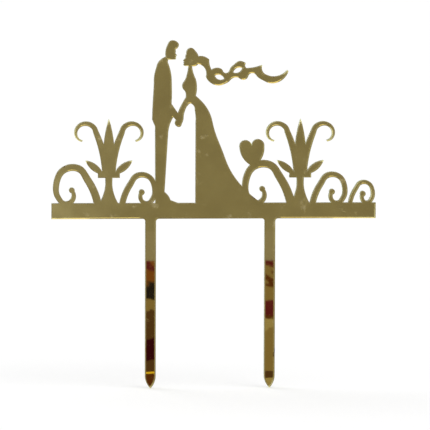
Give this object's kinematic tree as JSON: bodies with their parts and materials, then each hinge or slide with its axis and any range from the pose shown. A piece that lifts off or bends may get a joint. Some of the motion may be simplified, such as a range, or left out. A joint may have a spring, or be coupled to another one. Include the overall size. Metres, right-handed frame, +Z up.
{
  "type": "cake topper",
  "caption": "Flat cake topper cut from gold mirror acrylic: a couple with a blown veil and a heart, between scrollwork, on a bar with stakes that push into the cake.",
  "frame": {"origin": "on the underside of the bar, in the middle of its length and of the sheet's thickness", "axes": "+Z up, away from the stakes; +X along the bar to the right of someone facing the mirror; +Y out of the painted back, so the mirror faces -Y"},
  "size_m": [0.15, 0.003, 0.1608],
  "materials": {
    "tinted_acrylic": "cast acrylic with a gold tint, polished faces, laser-cut edges",
    "mirror_backing": "vacuum-coated metal film that mirrors through the acrylic, sealed behind by rolled grey paint"
  },
  "bodies": {
    "root": {"acrylic_sheet": "tinted_acrylic", "mirror_backing": "mirror_backing"}
  },
  "joints": []
}
